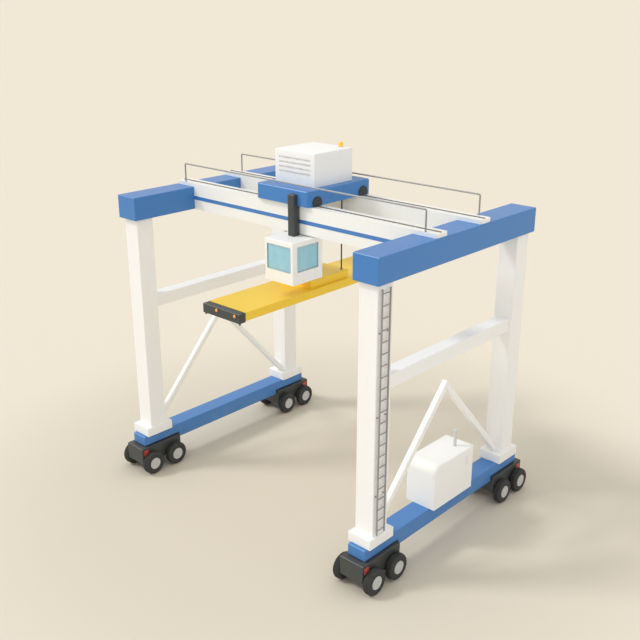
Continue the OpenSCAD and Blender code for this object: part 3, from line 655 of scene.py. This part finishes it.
# a sloping blade deep in every slot and a folded lip along its lower edge
blade = {"long": 1.996, "deep": 0.07, "thick": 0.005, "broken": 0.0015, "inside": 0.055, "lean": 38,
         "lip": 0.009, "lipOver": 0.02, "lipOut": 0.002, "lipDown": 0.003, "lipBroken": 0.003}
bm = bmesh.new()
for side in (-1, 1):
    face = at(houseX, high.y if side > 0 else low.y, low.z) @ turn(0 if side < 0 else 180, "Z")
    for k in range(house["count"]):
        height = house["first"] + k * house["pitch"]
        put(bm, block((blade["long"], blade["deep"], blade["thick"]), blade["broken"]),
            face @ at(0, blade["inside"], height) @ turn(blade["lean"], "X"))
        put(bm, block((blade["long"] + blade["lipOver"], blade["lip"], blade["lip"]), blade["lipBroken"]),
            face @ at(0, -blade["lipOut"], height - house["slotHigh"] / 2 - blade["lipDown"]))
newPiece("louvreBlades", bm, "trolley", creamPaint)

# power unit: a housing with a broad round upper front edge and five vent slots in the right wall
low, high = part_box("power_unit")
unit = {"front": 0.45, "edge": 0.035}
vent = {"count": 5, "top": 1.8, "pitch": 0.104, "along": 1.02, "wide": 0.2, "tall": 0.052, "deep": 0.025,
        "long": 0.07, "high": 0.038, "out": 0.014, "gap": 0.034, "thick": 0.004, "broken": 0.001, "sunk": 0.001}
middleY = (low.y + high.y) / 2 + vent["along"]
levels = [low.z + vent["top"] - k * vent["pitch"] for k in range(vent["count"])]
bm = boxed(low, high)
brow = [edge for edge in bm.edges
        if all(vert.co.y < low.y + near and vert.co.z > high.z - near for vert in edge.verts)]
bevel(bm, brow, unit["front"], 12)
sides = [edge for edge in bm.edges if abs(edge.verts[0].co.x - edge.verts[1].co.x) < near
         and any(vert.co.z > low.z + near for vert in edge.verts)]
bevel(bm, sides, unit["edge"], 3)
cuts = [((0, 0, level + side * vent["tall"] / 2), (0, 0, 1)) for level in levels for side in (-1, 1)]
cuts += [((0, middleY + side * vent["wide"] / 2, 0), (0, 1, 0)) for side in (-1, 1)]
recess(bm, cuts, lambda spot, normal: normal.x > 0.99 and abs(spot.y - middleY) < vent["wide"] / 2
       and any(abs(spot.z - level) < vent["tall"] / 2 for level in levels), vent["deep"])
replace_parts(newPiece("powerHousing", bm, "gantry", creamPaint), "power_unit")

# two short hoods in every vent slot
bm = bmesh.new()
for k in range(vent["count"]):
    for side in (-1, 1):
        hood = block((vent["thick"], vent["long"], vent["high"]), vent["broken"])
        shift(hood, (vent["thick"] / 2, 0, -vent["high"] / 2))
        shift(hood, (vent["out"], 0, 0), [vert for vert in hood.verts if vert.co.z < -vent["high"] / 2])
        put(bm, hood, at(high.x - vent["sunk"], middleY + side * (vent["long"] + vent["gap"]) / 2,
                         low.z + vent["top"] - k * vent["pitch"] + vent["high"] / 2))
newPiece("ventHoods", bm, "gantry", creamPaint)
print("louvres and vents made")

# lamps: a dark bezel round each signal lamp, and the beacon's round lens on its base
bezel = [(0.084, 0.0), (0.106, 0.0), (0.106, 0.022), (0.1, 0.03), (0.09, 0.03), (0.084, 0.022), (0.084, 0.0)]
signal = {"radius": 0.085, "sunk": 0.002}
lowLamp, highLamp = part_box("signal_lamps")
bm = bmesh.new()
for side, y in ((-1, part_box("front_spreader_end")[0].y), (1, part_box("rear_spreader_end")[1].y)):
    for x in (lowLamp.x + signal["radius"], highLamp.x - signal["radius"]):
        place = at(x, y - side * signal["sunk"], (lowLamp.z + highLamp.z) / 2)
        put(bm, turned(bezel, 32), place @ turn(-90 * side, "X"))
newPiece("lampBezels", bm, "spreader", seams)
low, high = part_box("warning_lamp")
base = {"radius": 0.131, "high": 0.014, "edge": 0.004}
dome = {"radius": 0.122, "high": 0.24, "corner": 0.07, "arc": 8}
place = at((low.x + high.x) / 2, (low.y + high.y) / 2, low.z)
arc = [(dome["radius"] - dome["corner"] * (1 - math.cos(angle)),
        dome["high"] - dome["corner"] * (1 - math.sin(angle))) for angle in quarter(dome["arc"])]
lens = [(0, 0), (dome["radius"], 0)] + arc + [(0, dome["high"])]
bm = bmesh.new()
put(bm, turned(lens, 48), place)
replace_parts(newPiece("beaconDome", bm, "trolley", beaconLens), "warning_lamp")
bm = bmesh.new()
inner = dome["radius"] - base["edge"]
rim = [(inner, 0), (base["radius"], 0), (base["radius"], base["high"] - base["edge"]),
       (base["radius"] - base["edge"], base["high"]), (inner, base["high"])]
put(bm, turned(rim, 48), place)
newPiece("beaconBase", bm, "trolley", pipePaint)
print("lamp rims made")

# rails: a bolted clip on each side at every tie
clip = {"every": 0.9, "first": 0.35, "size": (0.07, 0.04, 0.007), "broken": 0.004, "out": 0.015,
        "stud": 0.009, "studHigh": 0.007, "studOut": 0.02, "sunk": 0.001}
for name in ("front_rail", "rear_rail"):
    low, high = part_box(name)
    span = high.x - low.x - 2 * clip["first"]
    count = int(span / clip["every"]) + 1
    bm = bmesh.new()
    for side, y in ((-1, low.y), (1, high.y)):
        one = block(clip["size"], clip["broken"])
        stud = bolt(clip["stud"], clip["studHigh"])
        for k in range(count):
            x = low.x + clip["first"] + k * span / (count - 1)
            put(bm, one, at(x, y + side * clip["out"], low.z + clip["size"][2] / 2), keep=True)
            put(bm, stud, at(x, y + side * clip["studOut"], low.z + clip["size"][2] - clip["sunk"]), keep=True)
        one.free()
        stud.free()
    newPiece(name.replace("_rail", "RailClips"), bm, "gantry", creamPaint)

# handrails: one bent tube each, with the weld seam round each foot
handrail = {"radius": 0.0375, "bend": 0.07, "steps": 6, "weldOut": 0.0068, "weldIn": 0.002,
            "weld": ((1, 0), (0.9, 0.005), (0.55, 0.011), (0.2, 0.016)), "weldTop": 0.02}
tube = handrail["radius"]
hidden = tube - handrail["weldIn"]
weldProfile = [(tube + handrail["weldOut"] * out, z) for out, z in handrail["weld"]]
weldProfile = [(hidden, 0)] + weldProfile + [(hidden, handrail["weldTop"])]
bm = bmesh.new()
for name in ("front_handrail", "rear_handrail"):
    low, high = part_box(name)
    y, inset, bend = (low.y + high.y) / 2, (high.y - low.y) / 2, handrail["bend"]
    ends = (low.x + inset, high.x - inset)
    left = [Vector((ends[0] + bend * (1 - math.cos(angle)), y, high.z - tube - bend * (1 - math.sin(angle))))
            for angle in quarter(handrail["steps"])]
    right = [Vector((ends[0] + ends[1] - spot.x, y, spot.z)) for spot in reversed(left)]
    route = [Vector((ends[0], y, low.z))] + left + right + [Vector((ends[1], y, low.z))]
    rails = bmesh.new()
    put(rails, pipe(route, tube), at(0, 0, 0))
    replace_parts(newPiece(pieceName(name, "Tube"), rails, "gantry", greyPaint), name)
    for x in ends:
        put(bm, turned(weldProfile, 32), at(x, y, low.z))
newPiece("handrailWelds", bm, "gantry", greyPaint)
print("rail clips and handrails made")

# ladder: two stiles with rungs, held off the leg by ties with a round foot
ladder = {"stile": 0.04, "stileEdge": 0.008, "rung": 0.025, "wide": 0.498, "x": 8.1675, "y": -5.13,
          "foot": 2.58, "top": 13.46, "first": 0.19, "pitch": 0.5, "ties": 3, "leg": 8.0475,
          "tieFoot": 0.045, "tieFootHigh": 0.01, "weld": 0.006, "weldIn": 0.001}
tall = ladder["top"] - ladder["foot"]
rungWeld = [(ladder["rung"] + out * ladder["weld"], up * ladder["weld"]) for out, up in ((0, -1), (1, 0), (0, 1))]
bm = bmesh.new()
for side in (-1, 1):
    y = ladder["y"] + side * ladder["wide"] / 2
    put(bm, turned(rod(ladder["stile"], tall, ladder["stileEdge"]), 28), at(ladder["x"], y, ladder["foot"]))
    for k in range(ladder["ties"]):
        tie = at(ladder["leg"], y, ladder["foot"] + (k + 0.5) / ladder["ties"] * tall) @ turn(90, "Y")
        put(bm, turned(rod(ladder["rung"], ladder["x"] - ladder["leg"]), 20), tie)
        put(bm, turned(rod(ladder["tieFoot"], ladder["tieFootHigh"]), 24), tie)
for k in range(int((tall - ladder["first"]) / ladder["pitch"]) + 1):
    height = ladder["foot"] + ladder["first"] + k * ladder["pitch"]
    across = at(ladder["x"], ladder["y"] - ladder["wide"] / 2, height) @ turn(-90, "X")
    put(bm, turned(rod(ladder["rung"], ladder["wide"]), 20), across)
    inset = ladder["stile"] - ladder["weldIn"]
    for end in (inset, ladder["wide"] - inset):
        put(bm, turned(rungWeld, 20), across @ at(0, 0, end))
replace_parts(newPiece("legLadder", bm, "gantry", greyPaint), "ladder")
print("ladder made")

# sill beams: the deeper middle between the bogies, cut round the circle that they turn in
deep = {"down": 0.265, "turnRadius": 1.4227, "pin": 5.025, "steps": 12, "edge": 0.045, "root": 0.3,
        "taper": 0.93}
bm = bmesh.new()
for name in ("left_sill_beam", "right_sill_beam"):
    low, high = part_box(name)
    half = (high.x - low.x) / 2
    part = bmesh.new()
    outline = []  # between the two arcs
    for side in (1, -1):
        for k in range(deep["steps"] + 1):
            x = side * half * (1 - 2 * k / deep["steps"])
            y = side * (deep["pin"] - math.sqrt(deep["turnRadius"] ** 2 - x * x))
            outline.append(part.verts.new((x, y, -deep["down"])))
    bottom = part.faces.new(outline)
    raised = [bottom]
    for lift, taper in ((deep["down"] + deep["edge"], 1), (deep["root"], deep["taper"])):
        between = [face for face in raised if face is not bottom]
        moved = bmesh.ops.extrude_face_region(part, geom=raised)["geom"]
        bmesh.ops.delete(part, geom=between, context="FACES_ONLY")
        raised, corners = kept(moved, bmesh.types.BMFace), kept(moved, bmesh.types.BMVert)
        shift(part, (0, 0, lift), corners)
        bmesh.ops.scale(part, vec=(taper, taper, 1), verts=corners)
    lengthwise = [edge for edge in part.edges if edge.calc_length() > 1
                  and all(vert.co.z < -deep["down"] / 2 for vert in edge.verts)]
    bevel(part, lengthwise, deep["edge"], 4)
    put(bm, part, at((low.x + high.x) / 2, 0, low.z))
newPiece("sillMiddles", bm, "gantry", bluePaint)
print("sill middles made")

# diagonals: every bar lands on its foot block and is cut flat against its partner
bar = {"thick": 0.29, "corner": 0.06, "top": 7.8, "foot": 2.48, "run": 4.475, "leg": 4.5525, "over": 1.0}
rise = bar["top"] - bar["foot"]
slope = math.acos(bar["thick"] / math.hypot(rise, bar["run"])) - math.atan2(bar["run"], rise)
long = math.hypot(rise, bar["run"]) + 2 * bar["over"]
# (place, direction) of the partner's face, the leg and the foot block, where the bar is cut
faces = (((0, 0, 0), (0, -1, 0)), ((0, bar["leg"], 0), (0, 1, 0)), ((0, 0, bar["foot"]), (0, 0, -1)))
for name in [n for n in nodes if n.endswith("_diagonal")]:
    low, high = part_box(name)
    part = block((bar["thick"], bar["thick"], long))
    lengthwise = [edge for edge in part.edges if edge.calc_length() > 1]
    bevel(part, lengthwise, bar["corner"], 5)
    lean = turn(-90 - math.degrees(slope), "X") @ at(0, bar["thick"] / 2, long / 2 - bar["over"])
    bmesh.ops.transform(part, matrix=at(0, 0, bar["top"]) @ lean, verts=part.verts)
    for spot, outward in faces:
        cut = bmesh.ops.bisect_plane(part, geom=everything(part), plane_co=spot, plane_no=outward,
                                     clear_outer=True)["geom_cut"]
        rim = kept(cut, bmesh.types.BMEdge)
        if rim:
            bmesh.ops.contextual_create(part, geom=rim)
    bmesh.ops.scale(part, vec=(1, 1 if low.y + high.y > 0 else -1, 1), verts=part.verts)
    bm = bmesh.new()
    put(bm, part, at((low.x + high.x) / 2, 0, 0))
    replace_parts(newPiece(pieceName(name, "Bar"), bm, "gantry", creamPaint), name)
print("diagonals made")

# trolley: the deck's front and rear edges reach past the plain frame, with broad round corners
flank = {"out": 2.1665, "seam": 1.88, "root": 1.8, "corner": 0.19, "edge": 0.07, "proud": 0.001,
         "rootX": 1.67, "rootDown": 0.0205}
low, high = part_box("trolley_frame")
middle, halfX = (low.x + high.x) / 2, (high.x - low.x) / 2 + flank["proud"]
tall = high.z - low.z + 2 * flank["proud"]
bm = bmesh.new()
for side in (-1, 1):
    part = block((2 * halfX, flank["out"] - flank["seam"], tall))
    shift(part, (0, (flank["out"] + flank["seam"]) / 2, tall / 2))
    upright = [edge for edge in part.edges if all(vert.co.y > flank["seam"] + near for vert in edge.verts)
               and abs(edge.verts[0].co.z - edge.verts[1].co.z) > 0.1]
    bevel(part, upright, flank["corner"], 8)
    rim = [edge for edge in part.edges if all(vert.co.z > tall - 0.001 for vert in edge.verts)
           and any(vert.co.y > flank["seam"] + 0.001 for vert in edge.verts)]
    bevel(part, rim, flank["edge"], 4)
    back = [face for face in part.faces if all(vert.co.y < flank["seam"] + 0.001 for vert in face.verts)]
    moved = bmesh.ops.extrude_face_region(part, geom=back)["geom"]
    bmesh.ops.delete(part, geom=back, context="FACES_ONLY")
    corners = kept(moved, bmesh.types.BMVert)
    shift(part, (0, flank["root"] - flank["seam"], 0), corners)
    bmesh.ops.scale(part, vec=(flank["rootX"] / halfX, 1, (tall - flank["rootDown"]) / tall), verts=corners)
    bmesh.ops.scale(part, vec=(1, side, 1), verts=part.verts)
    put(bm, part, at(middle, 0, low.z - flank["proud"]))
newPiece("trolleyFlanks", bm, "trolley", bluePaint)
print("trolley flanks made")

# cab post: a little stouter than the plain one and carried on up the flank
post = {"side": 0.0275, "front": 0.03, "up": 0.065, "edge": 0.03}
low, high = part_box("cab_post")
bm = boxed(low - Vector((post["side"], post["front"], 0)), high + Vector((post["side"], 0, post["up"])))
upper = [edge for edge in bm.edges if any(vert.co.z > low.z + near for vert in edge.verts)]
bevel(bm, upper, post["edge"], 4)
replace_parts(newPiece("postCasing", bm, "trolley", darkPaint), "cab_post")
print("cab post made")

# hoist ropes: six strands laid round a core, from the sheaves to the headblock
rope = {"radius": 0.035, "strands": 6, "strandShare": 0.36, "ringShare": 0.64, "lay": 0.42, "steps": 20,
        "x": 0.82, "y": 1.08}
low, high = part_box("hoist_ropes")
ropeMiddle = ((low.x + high.x) / 2, (low.y + high.y) / 2)


def strandCurve(name, paths):
    # paths of points, each one strand, drawn as round wire of one radius
    curve = bpy.data.curves.new(name, "CURVE")
    curve.dimensions = "3D"
    curve.bevel_depth = rope["radius"] * rope["strandShare"]
    curve.bevel_resolution = 1
    curve.use_fill_caps = True
    for path in paths:
        line = curve.splines.new("POLY")
        line.points.add(len(path) - 1)
        for point, spot in zip(line.points, path):
            point.co = (*spot, 1)
    holder = bpy.data.objects.new(name + "Curve", curve)
    bpy.context.scene.collection.objects.link(holder)
    mesh = bpy.data.meshes.new_from_object(holder.evaluated_get(bpy.context.evaluated_depsgraph_get()))
    bpy.data.objects.remove(holder)
    bm = bmesh.new()
    bm.from_mesh(mesh)
    bpy.data.meshes.remove(mesh)
    return bm


def laidRope(foot, length):
    # the strands turn round a straight core that rises from the foot
    stations = int(length / rope["lay"] * rope["steps"])
    core = [foot + Vector((0, 0, length * k / stations)) for k in range(stations + 1)]
    paths = []
    for strand in range(rope["strands"]):
        path = []
        for spot in core:
            angle = 2 * math.pi * (strand / rope["strands"] + (spot.z - foot.z) / rope["lay"])
            ring = Vector((math.cos(angle), math.sin(angle), 0))
            path.append(spot + rope["radius"] * rope["ringShare"] * ring)
        paths.append(path)
    return paths + [core]


paths = []
falls = [(ropeMiddle[0] + sx * rope["x"], ropeMiddle[1] + sy * rope["y"]) for sx in (-1, 1) for sy in (-1, 1)]
for x, y in falls:
    paths += laidRope(Vector((x, y, low.z)), high.z - low.z)
bm = strandCurve("strands", paths)
ropes = newPiece("hoistRopeStrands", bm, "trolley", ropeSteel, 60)
ropes.parent = None
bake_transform(ropes)
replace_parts(ropes, "hoist_ropes")
print("hoist ropes made")

# a flared socket with a ring of bolts where each rope ends on the headblock
socket = [(0, 0), (0.068, 0), (0.068, 0.012), (0.064, 0.016), (0.052, 0.018), (0.048, 0.04), (0.042, 0.09),
          (0.039, 0.1), (0.0, 0.1)]
socketBolt = {"count": 6, "ring": 0.0585, "foot": 0.016, "radius": 0.005, "high": 0.005, "sunk": 0.04}
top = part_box("headblock")[1].z - socketBolt["sunk"]
bm = bmesh.new()
for x, y in falls:
    foot = at(x, y, top)
    put(bm, turned(socket, 32), foot)
    for k in range(socketBolt["count"]):
        spot = turn(360 / socketBolt["count"] * k, "Z") @ at(socketBolt["ring"], 0, socketBolt["foot"])
        put(bm, bolt(socketBolt["radius"], socketBolt["high"]), foot @ spot)
newPiece("ropeSockets", bm, "spreader", lockSteel)

# rope lying in the drum's grooves
wound = {"turns": 12, "pitch": 0.0805, "ring": 0.24, "radius": 0.033, "sides": 8}
angles = [2 * math.pi * k / wound["sides"] for k in range(wound["sides"] + 1)]
section = [(wound["ring"] + wound["radius"] * math.cos(a), wound["radius"] * math.sin(a)) for a in angles]
low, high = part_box("hoist_drum")
bm = bmesh.new()
for sy in (-1, 1):
    for k in range(wound["turns"]):
        y = sy * (rope["y"] - k * wound["pitch"])
        put(bm, turned(section, 40), at((low.x + high.x) / 2, y, (low.z + high.z) / 2) @ turn(90, "X"))
newPiece("drumRopeTurns", bm, "trolley", ropeSteel)
print("sockets and drum rope made")

# plain light cream floor with painted shade: darker near the crane
# the nearer colour is painted shade round the crane, fading out over the ramp's distances
plain = {"near": (226, 217, 199), "far": (240, 230, 212), "from": 11.5, "to": 23, "radius": 5000}
ground = Finish("floor")
away = ground.maths("SQRT", ground.x * ground.x + ground.y * ground.y)
# painted shade: the floor is darker close to the crane
paleWithPaintedShade = ground.blend(tone(*plain["near"]), tone(*plain["far"]), ground.ramp(away, plain["from"], plain["to"]))
matt = ground.node("BsdfPrincipled", inputs={"Base Color": paleWithPaintedShade, "Roughness": 0.9, "Specular IOR Level": 0.0})
ground.node("OutputMaterial", inputs={0: matt}, output=())
bm = bmesh.new()
bmesh.ops.create_circle(bm, cap_ends=True, segments=64, radius=plain["radius"])
mesh = bpy.data.meshes.new("floor")
bm.to_mesh(mesh)
bm.free()
mesh.materials.append(ground.material)
floor = bpy.data.objects.new("floor", mesh)
bpy.context.scene.collection.objects.link(floor)

# soft studio light: an even white world, one broad lamp from the upper left and one for the gleams alone
light = {"sun": 1.05, "sunFrom": (-0.50, -0.48, 0.72), "softness": 12, "world": 0.78,
         "backdrop": (243, 233, 215), "gleam": 2.0, "gleamFrom": (-0.637, -0.343, 0.69)}
for name in ("sun", "gleam"):
    lamp = bpy.data.lights.new(name, "SUN")
    lamp.energy = light[name]
    lamp.angle = math.radians(light["softness"])
    lampObject = bpy.data.objects.new(name, lamp)
    lampObject.rotation_euler = Vector(light[name + "From"]).to_track_quat("Z", "Y").to_euler()
    lampObject.visible_diffuse = name == "sun"
    bpy.context.scene.collection.objects.link(lampObject)
world = bpy.data.worlds.new("world")
bpy.context.scene.world = world
sky = Wiring(world)
rays = ("Is Camera Ray", "Is Glossy Ray", "Is Transmission Ray")
straight, glossy, through = sky.node("LightPath", output=rays)
seen = sky.ramp(straight + glossy + through, 0, 1)
shine = sky.blend((light["world"],) * 3 + (1,), tone(*light["backdrop"]), seen)
sky.node("OutputWorld", inputs={0: sky.node("Background", inputs={0: shine})}, output=())
print("floor and light made")
